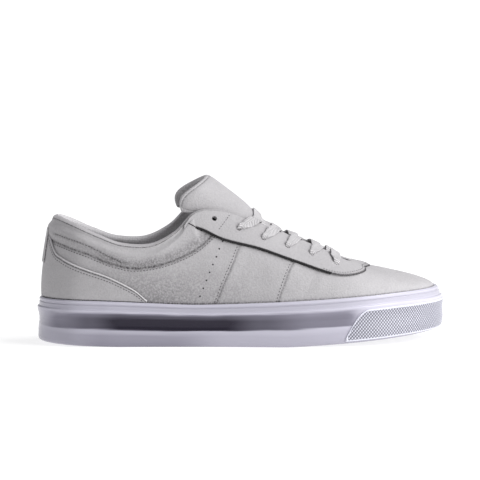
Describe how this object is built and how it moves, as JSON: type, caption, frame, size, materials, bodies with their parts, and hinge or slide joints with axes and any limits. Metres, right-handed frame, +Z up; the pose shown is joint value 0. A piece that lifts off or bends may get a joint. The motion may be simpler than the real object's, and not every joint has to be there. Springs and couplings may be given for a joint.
{
  "type": "skateboarding shoe",
  "caption": "Low skateboarding shoe, right foot: hollow suede upper on a rubber cup sole, with padded collar, tongue, eyestay, heel counter and crossed flat lace.",
  "frame": {"origin": "middle of the shoe's box on the floor it stands on", "axes": "+X from heel to toe, +Z up, -Y on the outer side of the right foot"},
  "size_m": [0.3022, 0.1098, 0.1238],
  "materials": {
    "white_rubber": "glossy moulded",
    "bumper_rubber": "fine hatch, satin",
    "suede": "brushed suede",
    "overlay_suede": "brushed suede",
    "tongue_suede": "brushed suede",
    "footbed_fabric": "fine woven",
    "lace_tape": "flat woven tape"
  },
  "bodies": {
    "root": {"outsole": "white_rubber", "toe_bumper": "bumper_rubber", "upper": "suede", "eyestay": "overlay_suede", "heel_counter": "overlay_suede", "heel_tab": "overlay_suede", "tongue": "tongue_suede", "insole": "footbed_fabric", "lace_bar": "lace_tape", "lace_cross_2": "lace_tape", "lace_cross_3": "lace_tape", "lace_cross_4": "lace_tape", "lace_cross_5": "lace_tape"}
  },
  "joints": []
}
